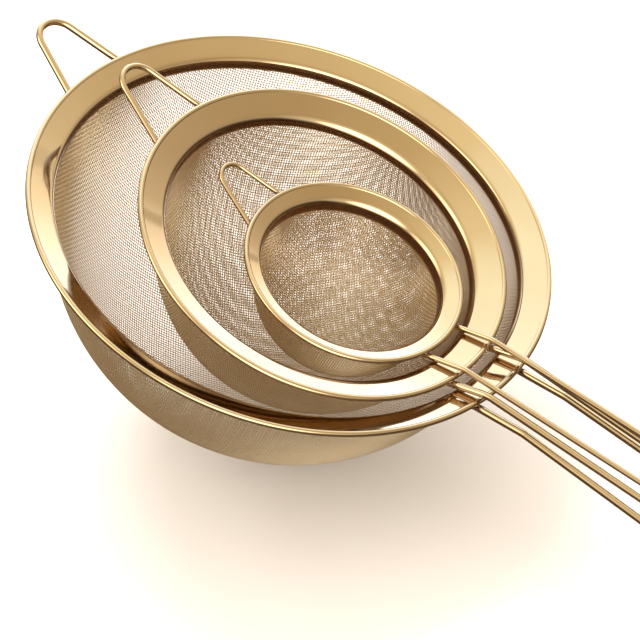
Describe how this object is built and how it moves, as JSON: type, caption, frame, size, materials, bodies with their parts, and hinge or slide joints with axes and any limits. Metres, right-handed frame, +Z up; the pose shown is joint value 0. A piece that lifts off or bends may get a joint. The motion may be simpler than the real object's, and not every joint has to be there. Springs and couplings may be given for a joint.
{
  "type": "nested kitchen strainer set",
  "caption": "Round fine-mesh kitchen strainers of rising size, nested in one another, each with a rolled rim, a long wire loop handle and a wire hook ear.",
  "frame": {"origin": "the spot where the largest bowl touches the table, at table height", "axes": "+X runs along the table from the bowl towards the handles' ends, +Z up; the largest rim's normal leans 18.5 degrees from +Z towards +X"},
  "size_m": [0.4095, 0.1996, 0.1355],
  "materials": {
    "large_rim": "mirror-polished gold plating",
    "large_mesh_ring": "mirror-polished pale gold plating",
    "large_mesh_bowl": "gold-coloured woven wire cloth",
    "large_handle": "mirror-polished gold plating",
    "large_ear": "mirror-polished pale gold plating",
    "medium_rim": "mirror-polished gold plating",
    "medium_mesh_ring": "mirror-polished pale gold plating",
    "medium_mesh_bowl": "gold-coloured woven wire cloth",
    "medium_handle": "mirror-polished gold plating",
    "medium_ear": "mirror-polished pale gold plating",
    "small_rim": "mirror-polished gold plating",
    "small_mesh_ring": "mirror-polished pale gold plating",
    "small_mesh_bowl": "gold-coloured woven wire cloth",
    "small_handle": "mirror-polished gold plating",
    "small_ear": "mirror-polished pale gold plating"
  },
  "bodies": {
    "large_strainer": {"large_rim": "large_rim", "large_mesh_ring": "large_mesh_ring", "large_mesh_bowl": "large_mesh_bowl", "large_handle": "large_handle", "large_ear": "large_ear"},
    "medium_strainer": {"medium_rim": "medium_rim", "medium_mesh_ring": "medium_mesh_ring", "medium_mesh_bowl": "medium_mesh_bowl", "medium_handle": "medium_handle", "medium_ear": "medium_ear"},
    "small_strainer": {"small_rim": "small_rim", "small_mesh_ring": "small_mesh_ring", "small_mesh_bowl": "small_mesh_bowl", "small_handle": "small_handle", "small_ear": "small_ear"}
  },
  "joints": [
    {"name": "medium_lift", "type": "slide", "parent": "large_strainer", "child": "medium_strainer", "axis": [0.3171, 0, 0.9484], "range_m": [0, 0.1]},
    {"name": "small_lift", "type": "slide", "parent": "medium_strainer", "child": "small_strainer", "axis": [0.3171, 0, 0.9484], "range_m": [0, 0.07]}
  ]
}
